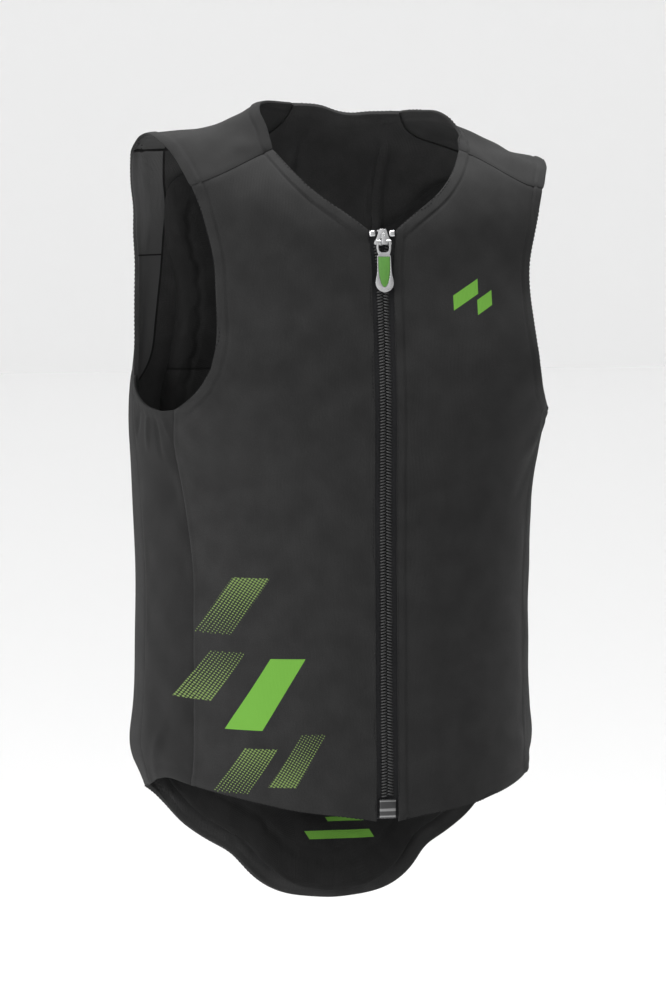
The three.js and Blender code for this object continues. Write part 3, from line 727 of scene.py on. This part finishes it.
for number, hand in enumerate(hands):
    front = skin_of(f"front_panel_{hand}", f"front_cloth_{hand}")
    front_area = lay_flat(front)
    refine(front, sheet_levels)
    ring, sewn, rim_points = outline_of(front, [f"side_panel_{hand}", f"yoke_{hand}"])
    at_zip = (np.abs(ring[:, 0]) < zip_edge_width / 2) & (sewn == "")
    spots = points_of(front.data)
    free_gap = distance_to(spots, ring[(sewn == "") & ~at_zip])
    seam_gap = distance_to(spots, ring[sewn == f"side_panel_{hand}"])
    yoke_gap = distance_to(spots, ring[sewn == f"yoke_{hand}"])
    zip_gap = distance_to(spots, ring[at_zip])
    ridge = bell(seam_gap - side_ridge["inset"], side_ridge["width"])
    relief = turned_edge(free_gap) + side_ridge["height"] * ridge
    relief -= yoke_groove_depth * bell(yoke_gap, yoke_groove_width)
    slack = ramp(np.minimum(seam_gap, yoke_gap), 0, front_slack)
    loose = folds(spots, front_folds[hand]) + 0.0005 * soft_waves(spots, 0.055, 11 + number)
    relief += loose * slack
    if hand == "left":
        relief += placket_height * (1 - ramp(zip_gap, placket_line - 0.001, placket_line + 0.0012))
        relief -= 0.0004 * bell(zip_gap - placket_line - 0.001, 0.001)
    press(front, relief * np.minimum(1, 0.35 + ramp(free_gap, 0, 0.002)))
    keep_value(front, "arm_edge", np.full(len(spots), no_arm_edge))
    thicken(front, cloth_thickness, printed_cloth[hand], lit_inner_cloth, rim_points)
    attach(front, "vest")
    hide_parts(f"front_panel_{hand}")
    hem = runs_where(ring, (sewn == "") & ~at_zip)
    stitch_row(f"front_stitches_{hand}", hem, front, stitch_line)
    stitch_row(f"placket_stitches_{hand}", runs_where(ring, at_zip), front, placket_inset)

# Side panels
# A narrow panel under each arm, sewn to the front and to the back, in a darker copy of the front's
# cloth: its darker tone is painted shade. The cloth gathers in small puckers below the armhole.
side_folds = [
    (0.000, -0.204, -0.012, -0.232, 0.0014, 0.0030),
    (0.012, -0.204, 0.010, -0.240, -0.0012, 0.0032),
    (0.024, -0.203, 0.034, -0.236, 0.0013, 0.0036),
    (0.040, -0.202, 0.056, -0.228, -0.0010, 0.0036),
    (-0.014, -0.204, -0.026, -0.224, -0.0010, 0.0030),
    (0.010, -0.440, 0.040, -0.484, 0.0014, 0.0060),
]
side_slack = 0.012
# The side panels' cloth is the front's, painted darker as painted shade.
shaded_side_cloths = {hand: stretch_cloth(f"side_cloth_{hand}", 0.005, 0.009) for hand in hands}
print_and_shade(shaded_side_cloths["right"], dotted_marks, print_pale)
for number, hand in enumerate(hands):
    side = skin_of(f"side_panel_{hand}", f"side_cloth_{hand}")
    side_area = lay_flat(side)
    refine(side, sheet_levels)
    ring, sewn, rim_points = outline_of(side, [f"front_panel_{hand}", "back_cover"])
    spots = points_of(side.data)
    free_gap = distance_to(spots, ring[sewn == ""])
    seam_gap = distance_to(spots, ring[sewn != ""])
    relief = turned_edge(free_gap) - seam_depth * bell(seam_gap, seam_width)
    loose = folds(spots, side_folds, 1) + 0.0006 * soft_waves(spots, 0.045, 21 + number)
    relief += loose * ramp(seam_gap, 0, side_slack)
    press(side, relief)
    keep_value(side, "arm_edge", np.full(len(spots), no_arm_edge))
    thicken(side, cloth_thickness, shaded_side_cloths[hand], lit_inner_cloth, rim_points)
    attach(side, "vest")
    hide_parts(f"side_panel_{hand}")
    hem = runs_where(ring, sewn == "")
    stitch_row(f"side_stitches_{hand}", hem, side, stitch_line)

# Shoulder yokes
# One piece of the same cloth over each shoulder, sewn to the front and the back. Its front seam
# is laid over the front panel, and it carries the vest.
yoke_thickness = 0.0021
yoke_slack = 0.014
yoke_arm_from = 0.12
for number, hand in enumerate(hands):
    yoke = skin_of(f"yoke_{hand}", f"yoke_cloth_{hand}")
    yoke_area = lay_flat(yoke)
    refine(yoke, sheet_levels)
    ring, sewn, rim_points = outline_of(yoke, [f"front_panel_{hand}", "back_cover"])
    spots = points_of(yoke.data)
    free_gap = distance_to(spots, ring[sewn == ""])
    front_gap = distance_to(spots, ring[sewn == f"front_panel_{hand}"])
    back_gap = distance_to(spots, ring[sewn == "back_cover"])
    relief = turned_edge(free_gap) - seam_depth * bell(back_gap, seam_width)
    relief -= 0.0005 * bell(front_gap, 0.0018)
    slack = ramp(np.minimum(front_gap, back_gap), 0, yoke_slack)
    relief += 0.0005 * slack * soft_waves(spots, 0.05, 31 + number)
    press(yoke, relief)
    arm_side = ring[(sewn == "") & (np.abs(ring[:, 0]) > yoke_arm_from)]
    keep_value(yoke, "arm_edge", distance_to(spots, arm_side))
    thicken(yoke, yoke_thickness, plain_cloth, lit_inner_cloth, rim_points)
    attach(yoke, "vest")
    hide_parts(f"yoke_{hand}")
    hem = runs_where(ring, sewn == "")
    stitch_row(f"yoke_stitches_{hand}", hem, yoke, stitch_line)

# The back
# Two layers of cloth over a thin filling, with the tail in one with it. Sewn channels are pressed in.
back_thickness = 0.0038
channel_depth = 0.0017
channel_width = 0.0022
back_arm_from = 0.10
back_arm_lowest = -0.21
channel_heights = (-0.105, -0.165, -0.225, -0.285, -0.345, -0.405, -0.465)
cover = skin_of("back_cover", "back_cloth")
lay_flat(cover)
refine(cover, sheet_levels)
cover_ring, cover_sewn, cover_rim = outline_of(
    cover, ["side_panel_right", "side_panel_left", "yoke_right", "yoke_left"],
)
spots = points_of(cover.data)
free_gap = distance_to(spots, cover_ring[cover_sewn == ""])
seam_gap = distance_to(spots, cover_ring[cover_sewn != ""])
spine = 0.052 + 0.016 * np.cos((spots[:, 2] + 0.26) / 0.075)
relief = turned_edge(free_gap) - seam_depth * bell(seam_gap, seam_width)
inner_area = ramp(np.minimum(free_gap, seam_gap), 0.018, 0.026)
relief -= channel_depth * bell(np.abs(spots[:, 0]) - spine, channel_width) * inner_area
between = 1 - ramp(np.abs(spots[:, 0]) - spine, -0.004, 0.0)
for height in channel_heights:
    relief -= 0.8 * channel_depth * bell(spots[:, 2] - height, channel_width) * between
relief += 0.0007 * between * inner_area + 0.0004 * inner_area * soft_waves(spots, 0.07, 41)
press(cover, relief)
beside_arm = (np.abs(cover_ring[:, 0]) > back_arm_from) & (cover_ring[:, 2] > back_arm_lowest)
arm_side = cover_ring[(cover_sewn == "") & beside_arm]
keep_value(cover, "arm_edge", distance_to(spots, arm_side))
thicken(cover, back_thickness, plain_cloth, lit_inner_cloth, cover_rim)
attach(cover, "vest")
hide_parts("back_cover")
stitch_row("back_stitches", runs_where(cover_ring, cover_sewn == ""), cover, stitch_line)

# The protector
# A sheet of impact foam in a cloth lining, sewn to the inside of the back round its rim. The lining
# is puffed out by a cloth simulation, and the sewn channels are pressed in afterwards.
lining_cloth = stretch_cloth("lining_cloth", 0.005, 0.010)
swell_cap = 0.0025
rim_held = 0.012
rim_seam = 0.020
lining_inset = -0.0045
lining_channels = (-0.178, -0.298, -0.418)
protector = merged_copy("back_protector", "protector_pad", merge_gap)
join_cells()
bpy.ops.object.mode_set(mode="OBJECT")
lay_flat(protector)
refine(protector, 2)
skin = skin_of("back_protector", "pad_outline")
pad_ring = outline_of(skin, [])[0]
bpy.data.objects.remove(skin)
held = protector.vertex_groups.new(name="held")
spots = points_of(protector.data)
normals = np.array([v.normal for v in protector.data.vertices])
rim_gap = distance_to(spots, pad_ring)
faces_in = normals[:, 1] < -0.2
for index in range(len(spots)):
    on_channel = min(abs(spots[index, 2] - height) for height in lining_channels) < 0.003
    if rim_gap[index] < rim_held or not faces_in[index] or on_channel:
        held.add([index], 1.0, "REPLACE")
stuffing = protector.modifiers.new("stuffing", "CLOTH")
stuffing.settings.quality = 5
stuffing.settings.mass = 0.3
stuffing.settings.use_pressure = True
stuffing.settings.uniform_pressure_force = 4
stuffing.settings.vertex_group_mass = "held"
stuffing.settings.effector_weights.gravity = 0
stuffing.collision_settings.use_collision = False
for number in range(1, 21):
    bpy.context.scene.frame_set(number)
puffed = points_of(protector.evaluated_get(bpy.context.evaluated_depsgraph_get()).data)
protector.modifiers.remove(stuffing)
bpy.context.scene.frame_set(1)
move = puffed - spots
length = np.maximum(np.linalg.norm(move, axis=1), 1e-9)
spots += move * np.minimum(1, swell_cap / length)[:, None]
protector.data.vertices.foreach_set("co", spots.ravel())
protector.data.update()
finer = protector.modifiers.new("finer", "SUBSURF")
finer.levels = 1
finer.render_levels = 1
apply_all(protector)
spots = points_of(protector.data)
normals = np.array([v.normal for v in protector.data.vertices])
rim_gap = distance_to(spots, pad_ring)
inward = ramp(-normals[:, 1], 0.1, 0.5)
relief = -0.0012 * bell(rim_gap - rim_seam, 0.0018)
for height in lining_channels:
    relief -= 0.0014 * bell(spots[:, 2] - height, 0.0022)
relief += 0.0005 * soft_waves(spots, 0.04, 51)
press(protector, relief * inward)
select_only(protector)
bpy.ops.object.shade_smooth()
channel_shade_lines = [(0, height, 0.4, 0.0016, 0, "solid") for height in lining_channels]
tail_marks = [
    (0.0060, -0.5400, 0.052, 0.0060, 0, "solid"),
    (0.0140, -0.5290, 0.034, 0.0030, 0, "solid"),
]
print_and_shade(lining_cloth, tail_marks, print_green)
# Painted shade: near-black lines in the grooves of the sewn channels.
print_and_shade(lining_cloth, channel_shade_lines, (0.002, 0.002, 0.002, 1))
protector.data.materials.append(lining_cloth)
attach(protector, "vest")
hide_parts("back_protector")
pad_line = [np.concatenate([pad_ring, pad_ring[:1]])]
stitch_row("lining_stitches", pad_line, cover, lining_inset)

# Zip tapes
# Woven polyester tape with a fine herringbone, sewn behind each front edge. It carries the coil.
tape_cloth, tape_tree, tape_shader = new_paint("tape_cloth")
tape_shader.inputs["Roughness"].default_value = 0.8
tape_shader.inputs["Specular IOR Level"].default_value = 0.25
tape_place = place_of(tape_tree)
weave = tape_tree.nodes.new("ShaderNodeTexWave")
weave.bands_direction = "DIAGONAL"
weave.inputs["Scale"].default_value = 420
weave.inputs["Distortion"].default_value = 0.8
tape_tree.links.new(tape_place, weave.inputs["Vector"])
tape_grain = noise_at(tape_tree, tape_place, 900, 2)
tape_share = maths(tape_tree, "MULTIPLY", weave.outputs["Fac"], tape_grain)
tape_tone = mixed(tape_tree, tape_share, (0.006, 0.006, 0.007, 1), (0.022, 0.022, 0.023, 1))
tape_tree.links.new(tape_tone, tape_shader.inputs["Base Color"])
bumped(tape_tree, tape_shader, weave.outputs["Fac"], 0.0002, 0.4)
for hand in hands:
    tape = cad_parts[f"zip_tape_{hand}"]
    tape.data.materials.clear()
    tape.data.materials.append(tape_cloth)

# Zip coils
# A row of moulded nylon teeth on each tape, just over two millimetres apart. The rows are half a
# step apart, so that they close into each other.
tooth_pitch = 0.0022
tooth_lean = 0.22
tooth_reach = 0.0003
nylon, nylon_tree, nylon_shader = new_paint("nylon")
nylon_shader.inputs["Roughness"].default_value = 0.5
cloudy = noise_at(nylon_tree, place_of(nylon_tree), 700, 3)
nylon_tone = mixed(nylon_tree, cloudy, (0.004, 0.004, 0.004, 1), (0.011, 0.011, 0.011, 1))
nylon_tree.links.new(nylon_tone, nylon_shader.inputs["Base Color"])
bumped(nylon_tree, nylon_shader, cloudy, 0.0001, 0.2)
bpy.ops.mesh.primitive_uv_sphere_add(segments=8, ring_count=6, radius=1)
tooth = bpy.context.object
tooth_shape = points_of(tooth.data)
tooth_rings = [list(face.vertices) for face in tooth.data.polygons]
bpy.data.objects.remove(tooth)
tooth_shape = np.sign(tooth_shape) * np.abs(tooth_shape) ** 0.7
for hand in hands:
    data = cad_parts[f"zip_coil_{hand}"].data
    corners = np.unique(np.round(points_of(data), 6), axis=0)
    corners = corners[np.argsort(corners[:, 2])]
    rows = [corners[i:i + 4] for i in range(0, len(corners), 4)]
    middle = np.array([row.mean(axis=0) for row in rows])
    half = np.array([np.ptp(corners[:4, 0]) / 2, np.ptp(corners[:4, 1]) / 2, tooth_pitch * 0.36])
    half[0] += 0.8 * tooth_reach
    middle[:, 0] += tooth_reach if hand == "right" else -tooth_reach
    start = middle[0, 2] + (tooth_pitch if hand == "right" else tooth_pitch * 1.5)
    points, faces = [], []
    for height in np.arange(start, middle[-1, 2] - tooth_pitch * 0.5, tooth_pitch):
        spot = np.array([np.interp(height, middle[:, 2], middle[:, k]) for k in range(3)])
        faces += [[k + len(points) for k in ring] for ring in tooth_rings]
        placed = tooth_shape * half
        placed[:, 2] += placed[:, 0] * (tooth_lean if hand == "right" else -tooth_lean)
        points += (placed + spot).tolist()
    teeth = mesh_piece(f"zip_teeth_{hand}", points, faces, nylon)
    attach(teeth, "vest")
    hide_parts(f"zip_coil_{hand}")

# Zip stops
# A plated metal stop is squeezed onto the top end of each tape, where it holds the slider.
fine_merge_gap = 0.00001
sharp_edge = math.radians(40)


def metal_paint(name, tone, roughness):
    """Plated zinc: a bright skin with faint wear and fine scratches."""
    paint, tree, shader = new_paint(name)
    shader.inputs["Metallic"].default_value = 1
    place = place_of(tree)
    wear = noise_at(tree, place, 260, 5)
    scratch = noise_at(tree, place, 2400, 1)
    light = (tone * 1.15, tone * 1.15, tone * 1.17, 1)
    tree.links.new(mixed(tree, wear, (tone * 0.8,) * 3 + (1,), light), shader.inputs["Base Color"])
    rough = maths(tree, "MULTIPLY_ADD", wear, 0.18, roughness - 0.09)
    tree.links.new(rough, shader.inputs["Roughness"])
    bumped(tree, shader, scratch, 0.00008, 0.25)
    return paint


def rounded(node, name, width, paint, body="vest"):
    """A hard part of the frame with its sharp edges rounded off."""
    piece = merged_copy(node, name, fine_merge_gap)
    bpy.ops.mesh.dissolve_limited(angle_limit=math.radians(1))
    bpy.ops.object.mode_set(mode="OBJECT")
    piece.data.materials.append(paint)
    edge = piece.modifiers.new("edge", "BEVEL")
    edge.width = width
    edge.segments = 3
    edge.limit_method = "ANGLE"
    edge.angle_limit = sharp_edge
    apply_all(piece)
    bpy.ops.object.shade_smooth_by_angle(angle=sharp_edge)
    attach(piece, body)
    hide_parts(node)
    return piece


bright_metal = metal_paint("bright_metal", 0.50, 0.24)
for hand in hands:
    stop = rounded(f"top_stop_{hand}", f"stop_metal_{hand}", 0.0009, bright_metal)

# Zip retainer
# A dark metal box closes the bottom of the zip. It is pressed over the ends of both tapes, and three
# bands across it are painted brighter: painted highlights of light on its ribs.
dark_metal = metal_paint("dark_metal", 0.055, 0.4)
# Painted highlights: three bands, each a height and a half width, painted brighter on the box.
highlight_bands = ((-0.4846, 0.0005), (-0.4912, 0.0010), (-0.4960, 0.0006))
band_tree = dark_metal.node_tree
band_axes = axes_of(band_tree)
bands = None
for height, half_width in highlight_bands:
    band = maths(band_tree, "COMPARE", band_axes["Z"], height, half_width)
    bands = band if bands is None else maths(band_tree, "MAXIMUM", bands, band)
band_shader = band_tree.nodes["Principled BSDF"]
band_below = band_shader.inputs["Base Color"].links[0].from_socket
band_tone = mixed(band_tree, bands, band_below, (0.20, 0.20, 0.20, 1))
band_tree.links.new(band_tone, band_shader.inputs["Base Color"])
retainer = rounded("zip_retainer", "retainer_box", 0.0006, dark_metal)

# Slider
# Plated die-cast metal: two plates over and under the coils, and a bridge that holds the pull.
slider = rounded("slider", "slider_metal", 0.0003, bright_metal)

# Pull
# A cast and plated tab with an eye at its top, whose bar turns in the slider's bridge.
pull = rounded("pull", "pull_metal", 0.0003, bright_metal, "pull")

# Pull inlay
# Green rubber set into a shallow pocket in the face of the tab, with a narrow gap round it.
green_rubber, green_tree, green_shader = new_paint("green_rubber")
green_shader.inputs["Roughness"].default_value = 0.45
green_cloud = noise_at(green_tree, place_of(green_tree), 500, 4)
green_tone = mixed(green_tree, green_cloud, (0.036, 0.128, 0.013, 1), (0.054, 0.168, 0.019, 1))
green_tree.links.new(green_tone, green_shader.inputs["Base Color"])
bumped(green_tree, green_shader, green_cloud, 0.0001, 0.2)
inlay = rounded("pull_inlay", "inlay_rubber", 0.0002, green_rubber, "pull")
